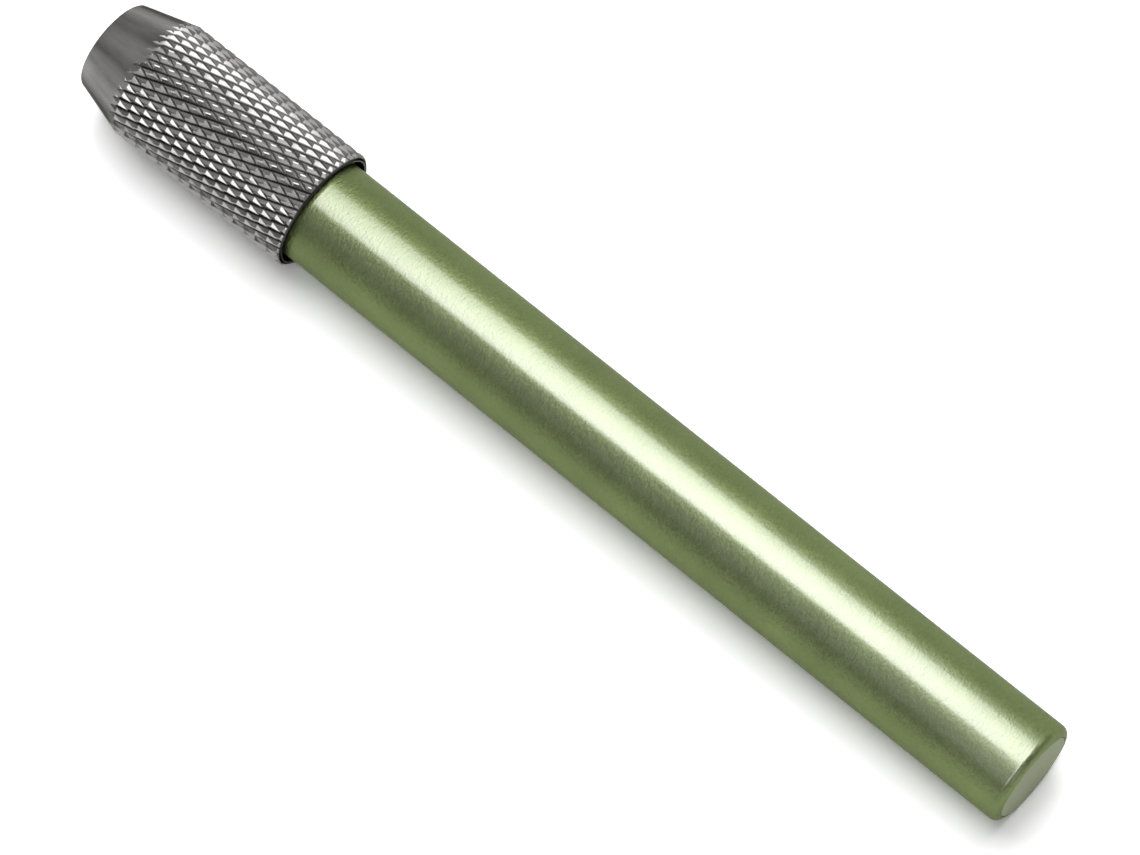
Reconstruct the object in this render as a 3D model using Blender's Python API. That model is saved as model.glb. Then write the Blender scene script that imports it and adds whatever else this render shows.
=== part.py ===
"""Pencil extender: a tube barrel that holds a pencil stub in a screw collet chuck.

The object lies along X, nose at -X, and rests on the plane Z = 0. Each turned piece is drawn as a
profile of (radius, distance behind the nose tip) about its own Z axis. All of them hang on one
empty at the nose tip, which lays that axis along X.
"""

import math

import bmesh
import bpy
from mathutils import Matrix, Vector

MM = 0.001

# Outside of the whole object
OVERALL_LENGTH = 105.0 * MM
BARREL_RADIUS = 5.0 * MM
NUT_RADIUS = 6.0 * MM
NUT_LENGTH = 24.85 * MM
NOSE_TIP_RADIUS = 4.45 * MM
NOSE_LENGTH = 5.4 * MM

# Clear way for a pencil of up to 8 mm, from the nose to the end plug
PENCIL_BORE_RADIUS = 4.05 * MM

# Gaps between pieces: pressed together, running on each other, and along the axis
PRESS_GAP = 0.05 * MM
RUNNING_GAP = 0.1 * MM
EDGE_BREAK = 0.15 * MM

# Barrel tube
TUBE_WALL = 0.5 * MM
ROLLED_EDGE_RADIUS = 0.75 * MM
ROLLED_EDGE_STEPS = 5

# End plug, a flanged button behind the rolled edge
PLUG_FLANGE_LENGTH = 2.2 * MM
PLUG_FLANGE_CHAMFER = 0.4 * MM

# Thread, drawn plain on both pieces
THREAD_PITCH = 0.75 * MM
THREAD_RADIUS = 5.15 * MM
NUT_TURNS = 3.0
CHUCK_TRAVEL = THREAD_PITCH * NUT_TURNS

# Threaded bush
BUSH_FRONT = 11.8 * MM
BUSH_SHOULDER = 19.6 * MM
BUSH_END = 30.0 * MM

# Chuck nut, inside
NUT_PUSH_SHOULDER = 3.6 * MM
NUT_RING_POCKET_END = 5.6 * MM
NUT_THREAD_START = 6.1 * MM
NUT_THREAD_END = 18.2 * MM
NUT_SKIRT_RADIUS = 5.42 * MM
NUT_RIM_ROUNDING = 0.28 * MM

# Diamond knurl: diamonds stand in rings, each ring half a step round from the last. The bar that
# the nut is cut from reaches past both of its ends
KNURL_COUNT = 40
KNURL_RING_PITCH = 1.285 * MM
KNURL_FIRST_RING = -1.265 * MM
KNURL_RINGS = 22
KNURL_DEPTH = 0.25 * MM
KNURL_FLANK = 0.21 * MM
KNURL_CLEARANCE = 0.3 * MM

# Split collet, one piece on the real object: its jaws flex where the slits end
COLLET_RING_RADIUS = 4.65 * MM
COLLET_RING_LENGTH = 2.0 * MM
JAW_COUNT = 4
JAW_ROOT_GAP = 0.15 * MM
JAW_FINGER_RADIUS = 4.5 * MM
JAW_HEAD_RADIUS = 4.95 * MM
JAW_HEAD_START = 11.7 * MM
JAW_HEAD_RISE = 0.7 * MM
JAW_TIP = 15.3 * MM
JAW_SWING = math.radians(2.7)
SLIT_WIDTH = 0.9 * MM
SEAT_GAP = 0.16 * MM

# Facets round a full turn, and the distance under which points are one
BARREL_STEPS = 64
NUT_STEPS = 2 * KNURL_COUNT
COLLET_STEPS = 48
JAW_STEPS = 8
MERGE_DISTANCE = 0.001 * MM
SMOOTH_ANGLE = math.radians(30.0)

# Worked out from the sizes above
TUBE_BORE_RADIUS = BARREL_RADIUS - TUBE_WALL
TUBE_FRONT = BUSH_SHOULDER + PRESS_GAP
NOSE_SLOPE = (NUT_RADIUS - NOSE_TIP_RADIUS) / NOSE_LENGTH
KNURL_ROOT_RADIUS = NUT_RADIUS - KNURL_DEPTH
COLLET_FRONT = NUT_PUSH_SHOULDER + RUNNING_GAP
COLLET_RING_END = COLLET_FRONT + COLLET_RING_LENGTH
JAW_ROOT = COLLET_RING_END + JAW_ROOT_GAP
JAW_HINGE = COLLET_RING_END + JAW_ROOT_GAP / 2
JAW_LEVER = JAW_TIP - JAW_HINGE
JAW_SWEEP = 2 * math.pi / JAW_COUNT - SLIT_WIDTH / JAW_FINGER_RADIUS
SEAT_SLOPE = JAW_LEVER * math.tan(JAW_SWING) / CHUCK_TRAVEL
JAW_HEAD_SLOPE = SEAT_SLOPE - math.tan(JAW_SWING)
JAW_TIP_RADIUS = JAW_HEAD_RADIUS - JAW_HEAD_SLOPE * (JAW_TIP - JAW_HEAD_START)
SEAT_TIP_RADIUS = JAW_TIP_RADIUS - JAW_LEVER * math.tan(JAW_SWING) + SEAT_GAP
SEAT_MOUTH_RADIUS = SEAT_TIP_RADIUS + SEAT_SLOPE * (JAW_TIP - BUSH_FRONT)

# Each finger bends about the neutral line of its arc-shaped section
JAW_MID_RADIUS = (PENCIL_BORE_RADIUS + JAW_FINGER_RADIUS) / 2
JAW_HINGE_RADIUS = JAW_MID_RADIUS * math.sin(JAW_SWEEP / 2) / (JAW_SWEEP / 2)


def clear_scene():
    for obj in list(bpy.data.objects):
        bpy.data.objects.remove(obj, do_unlink=True)


def finish(name, colour, metallic, roughness):
    """One plain metal or paint."""
    material = bpy.data.materials.new(name)
    material.use_nodes = True
    shader = material.node_tree.nodes["Principled BSDF"]
    shader.inputs["Base Color"].default_value = (*colour, 1.0)
    shader.inputs["Metallic"].default_value = metallic
    shader.inputs["Roughness"].default_value = roughness
    return material


def olive_anodised():
    return finish("olive_anodised_aluminium", (0.19, 0.23, 0.11), 1.0, 0.35)


def olive_plug():
    return finish("olive_plug_face", (0.15, 0.17, 0.11), 1.0, 0.5)


def nickel_plate():
    return finish("nickel_plate", (0.36, 0.35, 0.33), 1.0, 0.25)


def turned_brass():
    return finish("turned_brass", (0.62, 0.46, 0.2), 1.0, 0.3)


def spring_bronze():
    return finish("spring_bronze", (0.55, 0.34, 0.2), 1.0, 0.32)


def empty(name, parent=None, location=(0.0, 0.0, 0.0), rotation=(0.0, 0.0, 0.0)):
    holder = bpy.data.objects.new(name, None)
    holder.parent = parent
    holder.location = location
    holder.rotation_euler = rotation
    bpy.context.collection.objects.link(holder)
    return holder


def place(name, bm, parent, material=None):
    """Turn a bmesh into a named object under its parent, shaded smooth between its sharp edges."""
    mesh = bpy.data.meshes.new(name)
    bmesh.ops.recalc_face_normals(bm, faces=bm.faces)
    bm.to_mesh(mesh)
    bm.free()
    mesh.shade_smooth()
    mesh.set_sharp_from_angle(angle=SMOOTH_ANGLE)
    if material:
        mesh.materials.append(material)
    obj = bpy.data.objects.new(name, mesh)
    obj.parent = parent
    bpy.context.collection.objects.link(obj)
    return obj


def arc(centre, radius, start, end, steps):
    """Profile points on a round stretch, angles in degrees from the radial direction."""
    points = []
    for i in range(steps + 1):
        angle = math.radians(start + (end - start) * i / steps)
        points.append((centre[0] + radius * math.cos(angle), centre[1] + radius * math.sin(angle)))
    return points


def turned(profile, steps):
    """Turn a closed profile through a full circle about Z."""
    bm = bmesh.new()
    verts = [bm.verts.new((radius, 0.0, height)) for radius, height in profile]
    edges = [bm.edges.new((verts[i - 1], verts[i])) for i in range(len(verts))]
    bmesh.ops.spin(
        bm, geom=verts + edges, cent=(0.0, 0.0, 0.0), axis=(0.0, 0.0, 1.0),
        angle=2 * math.pi, steps=steps, use_merge=True,
    )
    bmesh.ops.remove_doubles(bm, verts=bm.verts, dist=MERGE_DISTANCE)
    return bm


def barrel_tube(parent):
    """Plain tube whose rear edge is rolled in to hold the end plug."""
    lip_radius = BARREL_RADIUS - ROLLED_EDGE_RADIUS
    roll_centre = (lip_radius, OVERALL_LENGTH - ROLLED_EDGE_RADIUS)
    inner_roll = ROLLED_EDGE_RADIUS - TUBE_WALL
    profile = arc(roll_centre, ROLLED_EDGE_RADIUS, 90.0, 0.0, ROLLED_EDGE_STEPS)
    profile += [
        (BARREL_RADIUS, TUBE_FRONT + EDGE_BREAK),
        (BARREL_RADIUS - EDGE_BREAK, TUBE_FRONT),
        (TUBE_BORE_RADIUS, TUBE_FRONT),
    ]
    profile += arc(roll_centre, inner_roll, 0.0, 90.0, 2)
    return place("barrel_tube", turned(profile, BARREL_STEPS), parent, olive_anodised())


def end_plug(parent):
    """Flush button with a flange that bears on the inside of the rolled edge."""
    boss_radius = BARREL_RADIUS - ROLLED_EDGE_RADIUS - PRESS_GAP
    flange_radius = TUBE_BORE_RADIUS - PRESS_GAP
    flange_top = OVERALL_LENGTH - TUBE_WALL - PRESS_GAP
    flange_bottom = flange_top - PLUG_FLANGE_LENGTH
    profile = [
        (0.0, OVERALL_LENGTH),
        (boss_radius, OVERALL_LENGTH),
        (boss_radius, flange_top),
        (flange_radius - PLUG_FLANGE_CHAMFER, flange_top),
        (flange_radius, flange_top - PLUG_FLANGE_CHAMFER),
        (flange_radius, flange_bottom + EDGE_BREAK),
        (flange_radius - EDGE_BREAK, flange_bottom),
        (0.0, flange_bottom),
    ]
    return place("end_plug", turned(profile, BARREL_STEPS), parent, olive_plug())


def threaded_bush(parent):
    """Bush pressed into the tube: thread outside, tapered collet seat inside, pencil bore behind."""
    spigot_radius = TUBE_BORE_RADIUS - PRESS_GAP
    profile = [
        (spigot_radius - EDGE_BREAK, BUSH_END),
        (spigot_radius, BUSH_END - EDGE_BREAK),
        (spigot_radius, BUSH_SHOULDER),
        (THREAD_RADIUS, BUSH_SHOULDER),
        (THREAD_RADIUS, BUSH_FRONT + EDGE_BREAK),
        (THREAD_RADIUS - EDGE_BREAK, BUSH_FRONT),
        (SEAT_MOUTH_RADIUS, BUSH_FRONT),
        (SEAT_TIP_RADIUS, JAW_TIP),
        (PENCIL_BORE_RADIUS, JAW_TIP + RUNNING_GAP),
        (PENCIL_BORE_RADIUS, BUSH_END),
    ]
    return place("threaded_bush", turned(profile, BARREL_STEPS), parent, turned_brass())


def knurled_bar():
    """Bar with a diamond knurl: a lattice of groove crossings, each diamond raised to a flat top."""
    step = 2 * math.pi / KNURL_COUNT
    bm = bmesh.new()
    crossings = []
    for ring in range(KNURL_RINGS):
        height = KNURL_FIRST_RING + ring * KNURL_RING_PITCH
        turn = 0.5 + 0.5 * (ring % 2)
        corners = []
        for i in range(KNURL_COUNT):
            angle = (i + turn) * step
            place_on_root = (KNURL_ROOT_RADIUS * math.cos(angle), KNURL_ROOT_RADIUS * math.sin(angle), height)
            corners.append(bm.verts.new(place_on_root))
        crossings.append(corners)
    diamonds = []
    last = KNURL_RINGS - 1
    for ring in range(KNURL_RINGS):
        for i in range(KNURL_COUNT):
            tip = i if ring % 2 else i - 1
            sides = (crossings[ring][i - 1], crossings[ring][i])
            if ring == 0:
                bm.faces.new((*sides, crossings[1][tip]))
            elif ring == last:
                bm.faces.new((*sides, crossings[last - 1][tip]))
            else:
                rim = (sides[0], crossings[ring - 1][tip], sides[1], crossings[ring + 1][tip])
                diamonds.append(bm.faces.new(rim))
    bm.faces.new(crossings[0])
    bm.faces.new(crossings[last])
    bmesh.ops.recalc_face_normals(bm, faces=bm.faces)
    bmesh.ops.inset_individual(bm, faces=diamonds, thickness=KNURL_FLANK, depth=KNURL_DEPTH, use_even_offset=True)
    return bm


def chuck_nut(parent):
    """Turned nut cut from knurled bar, so that the nose taper runs out through the diamonds."""
    blank_radius = NUT_RADIUS + KNURL_CLEARANCE
    rim_end = NUT_LENGTH - NUT_RIM_ROUNDING - KNURL_CLEARANCE
    nose_end = (blank_radius - NOSE_TIP_RADIUS) / NOSE_SLOPE
    pocket_radius = COLLET_RING_RADIUS + RUNNING_GAP
    thread_radius = THREAD_RADIUS + RUNNING_GAP
    profile = [
        (NUT_SKIRT_RADIUS, NUT_LENGTH),
        (NUT_RADIUS - NUT_RIM_ROUNDING, NUT_LENGTH),
        (blank_radius, rim_end),
        (blank_radius, nose_end),
        (NOSE_TIP_RADIUS + NOSE_SLOPE * EDGE_BREAK, EDGE_BREAK),
        (NOSE_TIP_RADIUS - EDGE_BREAK, 0.0),
        (PENCIL_BORE_RADIUS + EDGE_BREAK, 0.0),
        (PENCIL_BORE_RADIUS, EDGE_BREAK),
        (PENCIL_BORE_RADIUS, NUT_PUSH_SHOULDER),
        (pocket_radius, NUT_PUSH_SHOULDER),
        (pocket_radius, NUT_RING_POCKET_END),
        (thread_radius, NUT_THREAD_START),
        (thread_radius, NUT_THREAD_END),
        (NUT_SKIRT_RADIUS, NUT_THREAD_END + EDGE_BREAK),
    ]
    bar = place("knurled_bar", knurled_bar(), parent)
    bar.hide_render = True
    bar.display_type = "WIRE"
    nut = place("chuck_nut", turned(profile, NUT_STEPS), parent, nickel_plate())
    knurl = nut.modifiers.new("knurl", "BOOLEAN")
    knurl.operation = "INTERSECT"
    knurl.solver = "EXACT"
    knurl.object = bar
    return nut


def collet_ring(parent):
    """Unsplit front end of the collet, which the nut pushes on."""
    profile = [
        (PENCIL_BORE_RADIUS, COLLET_RING_END),
        (COLLET_RING_RADIUS, COLLET_RING_END),
        (COLLET_RING_RADIUS, COLLET_FRONT + EDGE_BREAK),
        (COLLET_RING_RADIUS - EDGE_BREAK, COLLET_FRONT),
        (PENCIL_BORE_RADIUS, COLLET_FRONT),
    ]
    return place("collet_ring", turned(profile, COLLET_STEPS), parent, spring_bronze())


def jaw_section():
    """One jaw as it is cut, open: a thin finger and a tapered head, from its hinge point."""
    profile = [
        (PENCIL_BORE_RADIUS, JAW_ROOT),
        (JAW_FINGER_RADIUS, JAW_ROOT),
        (JAW_FINGER_RADIUS, JAW_HEAD_START - JAW_HEAD_RISE),
        (JAW_HEAD_RADIUS, JAW_HEAD_START),
        (JAW_TIP_RADIUS, JAW_TIP),
        (PENCIL_BORE_RADIUS + EDGE_BREAK, JAW_TIP),
        (PENCIL_BORE_RADIUS, JAW_TIP - EDGE_BREAK),
    ]
    bm = bmesh.new()
    verts = [bm.verts.new((radius - JAW_HINGE_RADIUS, 0.0, height - JAW_HINGE)) for radius, height in profile]
    section = bm.faces.new(verts)
    centre = Vector((-JAW_HINGE_RADIUS, 0.0, 0.0))
    half_back = Matrix.Rotation(-JAW_SWEEP / 2, 3, "Z")
    bmesh.ops.rotate(bm, verts=verts, cent=centre, matrix=half_back)
    bmesh.ops.spin(
        bm, geom=[section, *section.edges, *verts], cent=centre, axis=(0.0, 0.0, 1.0),
        angle=JAW_SWEEP, steps=JAW_STEPS, use_merge=False,
    )
    return bm


def collet_jaws(parent):
    """Four jaws round the bore, each swung closed about its own hinge empty."""
    bronze = spring_bronze()
    for i in range(JAW_COUNT):
        turn = 2 * math.pi * i / JAW_COUNT
        spot = (JAW_HINGE_RADIUS * math.cos(turn), JAW_HINGE_RADIUS * math.sin(turn), JAW_HINGE)
        hinge = empty(f"jaw_{i + 1}_hinge", parent, spot, (0.0, 0.0, turn))
        jaw = place(f"collet_jaw_{i + 1}", jaw_section(), hinge, bronze)
        jaw.rotation_euler = (0.0, -JAW_SWING, 0.0)


def main():
    clear_scene()
    nose_tip = (-OVERALL_LENGTH / 2, 0.0, NUT_RADIUS)
    axis = empty("extender_axis", None, nose_tip, (0.0, math.pi / 2, 0.0))
    barrel_tube(axis)
    end_plug(axis)
    threaded_bush(axis)
    collet_ring(axis)
    collet_jaws(axis)
    chuck_nut(axis)


if __name__ == "__main__":
    main()
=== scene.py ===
"""Pencil extender, dressed for a studio picture.

A satin olive tube with a nickelled, diamond-knurled chuck nut at its front end. Inside are a brass
bush with the thread and the collet's seat, and a bronze collet split into four jaws. Sizes are in
metres. The object lies along X with its nose at -X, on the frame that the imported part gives.
"""

import math

import bmesh
import bpy
from mathutils import Matrix, Vector


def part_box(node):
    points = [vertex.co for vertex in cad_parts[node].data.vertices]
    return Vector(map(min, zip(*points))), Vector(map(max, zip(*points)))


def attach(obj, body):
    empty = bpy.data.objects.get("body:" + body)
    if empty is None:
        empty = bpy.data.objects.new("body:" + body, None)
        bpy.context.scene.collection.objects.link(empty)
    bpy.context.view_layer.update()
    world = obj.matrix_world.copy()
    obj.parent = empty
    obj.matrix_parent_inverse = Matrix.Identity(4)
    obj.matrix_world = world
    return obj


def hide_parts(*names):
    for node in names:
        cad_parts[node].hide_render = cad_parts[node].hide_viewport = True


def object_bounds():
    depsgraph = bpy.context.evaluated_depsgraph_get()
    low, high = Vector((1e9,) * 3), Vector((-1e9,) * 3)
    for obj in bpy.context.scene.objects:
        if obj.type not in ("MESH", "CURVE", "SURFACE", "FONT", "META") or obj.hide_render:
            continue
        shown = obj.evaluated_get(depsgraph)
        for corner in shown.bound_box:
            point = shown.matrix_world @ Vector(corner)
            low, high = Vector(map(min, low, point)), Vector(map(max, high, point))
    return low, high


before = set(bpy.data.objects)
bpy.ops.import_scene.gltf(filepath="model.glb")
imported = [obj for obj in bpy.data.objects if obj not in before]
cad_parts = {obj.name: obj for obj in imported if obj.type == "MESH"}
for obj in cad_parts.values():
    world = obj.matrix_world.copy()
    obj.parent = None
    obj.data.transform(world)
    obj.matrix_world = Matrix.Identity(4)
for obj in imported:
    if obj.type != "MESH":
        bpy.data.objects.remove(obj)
CAD_LOW, CAD_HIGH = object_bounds()

bl_info = {
    "name": "Pencil Extender",
    "version": (1, 0, 0),
    "blender": (4, 5, 0),
    "location": "View3D > Sidebar > Extender",
    "description": "Models a pencil extender with a knurled screw chuck",
    "category": "Add Mesh",
}

MM = 0.001

# Place of the turned axis in the frame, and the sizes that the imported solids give
NOSE_X = CAD_LOW.x
AXIS_HEIGHT = (CAD_LOW.z + CAD_HIGH.z) / 2
BARREL_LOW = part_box("barrel_tube")[0]
NUT_LOW, NUT_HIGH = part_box("chuck_nut")

# Gaps between the pieces and the small broken edges of turned work
PRESS_GAP = 0.05 * MM
RUNNING_GAP = 0.1 * MM
EDGE_BREAK = 0.15 * MM
SOFT_EDGE = 0.06 * MM
WELD = 0.0005 * MM

# Facets round a full turn
BARREL_FACETS = 192
NUT_FACETS = 240
COLLET_FACETS = 144
THREAD_FACETS = 72

# Knurl: how far the grooved bars reach past the nut's ends, the width left on top between the deep
# grooves, the depth of the grooves that cross them and the width of those for each unit of depth
KNURL_OVERRUN = 1.265 * MM
KNURL_CLEARANCE = 0.3 * MM
KNURL_SPLIT = 2
KNURL_CREST = 0.11 * MM
CROSS_DEPTH = 0.235 * MM
CROSS_CLEARANCE = 0.05 * MM
CROSS_FLANK = 1.26
KNURL_SMOOTH_ANGLE = 12.0
GROOVE_SLACK = 0.01

# End plug: the chamfer of its flange, and where the inner disc of its faces ends on the boss
PLUG_CHAMFER = 0.4 * MM
PLUG_DISC_SHARE = 0.3

# Nut, inside and at its ends
NUT_RIM = 0.33 * MM
NUT_SKIRT = 5.42 * MM
NOSE_ROUND = 0.15 * MM
PUSH_SHOULDER = 3.6 * MM
POCKET_END = 5.6 * MM
NUT_THREAD_START = 6.1 * MM
NUT_THREAD_END = 18.2 * MM
NUT_THREAD_TURNS = 17
NUT_RELIEF_LENGTH = 0.35 * MM
NUT_LEAD_LENGTH = 0.5 * MM

# Thread form: flat floors and crests with flanks of 30 degrees, clear of each other all round
THREAD_DEPTH = 0.2 * MM
THREAD_FLANK = math.tan(math.radians(30.0))
THREAD_OVERLAP = 0.08 * MM
THREAD_RELIEF = 0.02 * MM
NUT_GROOVE_FLOOR = 0.32 * MM
BUSH_GROOVE_FLOOR = 0.34 * MM
BUSH_THREAD_LEAD = 6
BUSH_THREAD_TURNS = 10

# Bush
BUSH_SHOULDER = 19.6 * MM
BUSH_RELIEF_START = 18.1 * MM
BUSH_RELIEF_END = 18.95 * MM
SEAT_MOUTH_RADIUS = 4.811 * MM
SEAT_TIP_RADIUS = 4.112 * MM
SEAT_END = 15.3 * MM

# Split collet
COLLET_RING_RADIUS = 4.65 * MM
JAW_COUNT = 4
JAW_ROOT_GAP = 0.05 * MM
JAW_HINGE_GAP = 0.075 * MM
JAW_HINGE_RADIUS = 3.948 * MM
JAW_FINGER_RADIUS = 4.5 * MM
JAW_HEAD_RADIUS = 4.95 * MM
JAW_HEAD_START = 11.7 * MM
JAW_HEAD_RISE = 0.7 * MM
JAW_TIP_RADIUS = 4.401 * MM
SLIT_WIDTH = 0.9 * MM
GRIP_GROOVES = 5
GRIP_PITCH = 0.6 * MM
GRIP_DEPTH = 0.1 * MM
JAW_BLOCK = 40.0 * MM

# Marks on the metals, at the sizes that they are drawn. A wave texture turns by 20 radians for each
# unit of its scale, so the feeds below are a sixth of the distance between two marks
WAVE_RATE = 20
PIT_SIZE = 0.22 * MM
PIT_DEPTH = 0.06 * MM
PIT_SQUEEZE = 0.45
CLOUD_SIZE = 6.0 * MM
FACING_FEED = 0.1 * MM
FACING_DEPTH = 0.02 * MM
FACED_GRAIN = 0.2 * MM
TOOL_FEED = 0.15 * MM
TOOL_DEPTH = 0.01 * MM
WEAR_SIZE = 1.2 * MM
# The polish noise also paints reflection streaks into the nose's colour
POLISH_SIZE = 2.4 * MM
POLISH_DEPTH = 0.02 * MM
POLISH_STRETCH = 25.0
POLISH_TURN = math.radians(135.0)

# Painted shade in the knurl's grooves, with some grime: the depths where it starts and is full, and
# those past which the metal is the nut's inside, left unshaded. The knurl itself is a little brighter
# than the polished nose
GRIME_AND_SHADE_TOP = 0.18 * MM
GRIME_AND_SHADE_FULL = 0.25 * MM
GRIME_AND_SHADE_LEVEL = 0.15
INSIDE_TOP = 0.36 * MM
INSIDE_FULL = 0.44 * MM
KNURL_SHADE = 1.12

# Camera: from behind the rear end and above, with a long lens
CAMERA_AZIMUTH = math.radians(40.84)
CAMERA_ELEVATION = math.radians(67.31)
CAMERA_DISTANCE = 537.3 * MM
CAMERA_TARGET_X = 1.45 * MM
CAMERA_RIGHT = -0.453 * MM
CAMERA_UP = -1.308 * MM
CAMERA_LENS = 196.33
CAMERA_SENSOR = 36.0
CAMERA_NEAR = 0.01

# Floor: a card that looks brighter to the camera than it is lit, and a share of that in the metals
FLOOR_SIZE = 4.0
FLOOR_TILT = math.radians(0.72)
FLOOR_GAIN = 0.28
FLOOR_MIRROR_SHARE = 0.3
CARD_FIBRE = 2.0 * MM

# Tent round the object: its brightness overhead and at the horizon, how much brighter the far side
# is, and how fast it falls off with height
TENT_ZENITH = 0.12
TENT_HORIZON = 0.58
TENT_FAR_SIDE = 0.42
TENT_FALLOFF = 2.0


def linear(code):
    """Linear colour of an sRGB hex value."""
    parts = [int(code[i:i + 2], 16) / 255 for i in (1, 3, 5)]
    return [p / 12.92 if p <= 0.04045 else ((p + 0.055) / 1.055) ** 2.4 for p in parts]


class ExtenderSizes(bpy.types.PropertyGroup):
    """Outside and working sizes of the extender."""

    length: bpy.props.FloatProperty(
        name="Length", description="Overall length", default=CAD_HIGH.x - CAD_LOW.x,
        subtype="DISTANCE", unit="LENGTH")
    barrel_radius: bpy.props.FloatProperty(
        name="Barrel radius", description="Outside radius of the tube", default=5.0 * MM,
        subtype="DISTANCE", unit="LENGTH")
    tube_wall: bpy.props.FloatProperty(
        name="Tube wall", description="Wall of the tube", default=0.5 * MM,
        subtype="DISTANCE", unit="LENGTH")
    rolled_edge: bpy.props.FloatProperty(
        name="Rolled edge", description="Radius of the tube's rolled rear edge", default=0.75 * MM,
        subtype="DISTANCE", unit="LENGTH")
    bore_radius: bpy.props.FloatProperty(
        name="Pencil bore", description="Radius of the clear way for a pencil", default=4.05 * MM,
        subtype="DISTANCE", unit="LENGTH")
    nut_radius: bpy.props.FloatProperty(
        name="Nut radius", description="Outside radius of the chuck nut",
        default=(NUT_HIGH.z - NUT_LOW.z) / 2, subtype="DISTANCE", unit="LENGTH")
    nut_length: bpy.props.FloatProperty(
        name="Nut length", description="Length of the chuck nut", default=NUT_HIGH.x - NUT_LOW.x,
        subtype="DISTANCE", unit="LENGTH")
    nose_radius: bpy.props.FloatProperty(
        name="Nose radius", description="Radius of the nose at its tip", default=4.45 * MM,
        subtype="DISTANCE", unit="LENGTH")
    nose_length: bpy.props.FloatProperty(
        name="Nose length", description="Length of the smooth taper", default=5.4 * MM,
        subtype="DISTANCE", unit="LENGTH")
    knurl_count: bpy.props.IntProperty(
        name="Knurl count", description="Diamonds round the nut", default=40, min=8)
    knurl_pitch: bpy.props.FloatProperty(
        name="Knurl ring pitch", description="Distance from one ring of diamonds to the next",
        default=1.285 * MM, subtype="DISTANCE", unit="LENGTH")
    knurl_depth: bpy.props.FloatProperty(
        name="Knurl depth", description="Depth of the knurl's grooves", default=0.28 * MM,
        subtype="DISTANCE", unit="LENGTH")
    thread_radius: bpy.props.FloatProperty(
        name="Thread radius", description="Crest radius of the bush's thread", default=5.15 * MM,
        subtype="DISTANCE", unit="LENGTH")
    thread_pitch: bpy.props.FloatProperty(
        name="Thread pitch", description="Travel of the nut in one turn", default=0.75 * MM,
        subtype="DISTANCE", unit="LENGTH")
    jaw_swing: bpy.props.FloatProperty(
        name="Jaw swing", description="Angle through which each jaw closes",
        default=math.radians(2.7), subtype="ANGLE", unit="ROTATION")


class ExtenderFinishes(bpy.types.PropertyGroup):
    """Colours of the extender's metals and of the floor."""

    barrel: bpy.props.FloatVectorProperty(
        name="Barrel", description="Dye of the anodised tube", subtype="COLOR",
        default=linear("#748155"), min=0, max=1)
    plug: bpy.props.FloatVectorProperty(
        name="End plug", description="Dye of the end plug's face", subtype="COLOR",
        default=linear("#99A087"), min=0, max=1)
    nickel: bpy.props.FloatVectorProperty(
        name="Nickel", description="Plating of the chuck nut", subtype="COLOR",
        default=linear("#8E8C8B"), min=0, max=1)
    brass: bpy.props.FloatVectorProperty(
        name="Brass", description="Turned brass of the bush", subtype="COLOR",
        default=linear("#D9B26A"), min=0, max=1)
    bronze: bpy.props.FloatVectorProperty(
        name="Bronze", description="Spring bronze of the collet", subtype="COLOR",
        default=linear("#C68F63"), min=0, max=1)
    floor: bpy.props.FloatVectorProperty(
        name="Floor", description="Sheet that the object lies on", subtype="COLOR",
        default=linear("#FAFAFA"), min=0, max=1)


def along(distance):
    """World X of a place so far behind the nose tip."""
    return NOSE_X + distance


def on_axis(distance):
    """Place on the turned axis so far behind the nose tip."""
    return (along(distance), 0.0, AXIS_HEIGHT)


def clear_selection():
    """Leave edit mode with nothing selected."""
    if bpy.context.mode != "OBJECT":
        bpy.ops.object.mode_set(mode="OBJECT")
    bpy.ops.object.select_all(action="DESELECT")


def pick(piece, kind, test):
    """Select the corners, edges or faces of the piece in edit mode whose points pass the test."""
    bpy.ops.mesh.select_all(action="DESELECT")
    bpy.ops.mesh.select_mode(type=kind)
    bm = bmesh.from_edit_mesh(piece.data)
    for item in {"VERT": bm.verts, "EDGE": bm.edges, "FACE": bm.faces}[kind]:
        points = [item.co] if kind == "VERT" else [v.co for v in item.verts]
        item.select_set(test(points))
    bm.select_flush_mode()
    bmesh.update_edit_mesh(piece.data)


def start_ring(name, radius, distance, facets, fill="NOTHING"):
    """Add a ring round the axis, with its place in the mesh, ready to extrude."""
    clear_selection()
    bpy.ops.mesh.primitive_circle_add(
        vertices=facets, radius=radius, fill_type=fill, location=on_axis(distance),
        rotation=(0.0, math.pi / 2, 0.0))
    piece = bpy.context.active_object
    piece.name = name
    piece.data.name = name
    bpy.ops.object.transform_apply(location=True, rotation=True, scale=True)
    bpy.ops.object.mode_set(mode="EDIT")
    bpy.ops.mesh.select_mode(type="EDGE")
    bpy.ops.mesh.select_all(action="SELECT")
    return piece


def weld_up():
    """Merge doubled corners and point every face outwards, then leave edit mode."""
    bpy.ops.mesh.select_all(action="SELECT")
    bpy.ops.mesh.remove_doubles(threshold=WELD)
    bpy.ops.mesh.normals_make_consistent(inside=False)
    bpy.ops.object.mode_set(mode="OBJECT")


def turned(name, stations, facets, solid=False):
    """Turn a piece from a ring that is extruded along the axis and scaled at each station.

    A station is (radius, distance behind the nose tip). A hollow piece runs back to its first ring
    and a solid one is capped at both ends.
    """
    piece = start_ring(name, *stations[0], facets, "NGON" if solid else "NOTHING")
    route = stations if solid else [*stations, stations[0]]
    for (last_radius, last_distance), (radius, distance) in zip(route, route[1:]):
        bpy.ops.mesh.extrude_edges_move(
            TRANSFORM_OT_translate={"value": (distance - last_distance, 0.0, 0.0)})
        share = radius / last_radius
        bpy.ops.transform.resize(value=(1.0, share, share), center_override=on_axis(distance))
    if solid:
        bpy.ops.mesh.edge_face_add()
    weld_up()
    return piece


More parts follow.
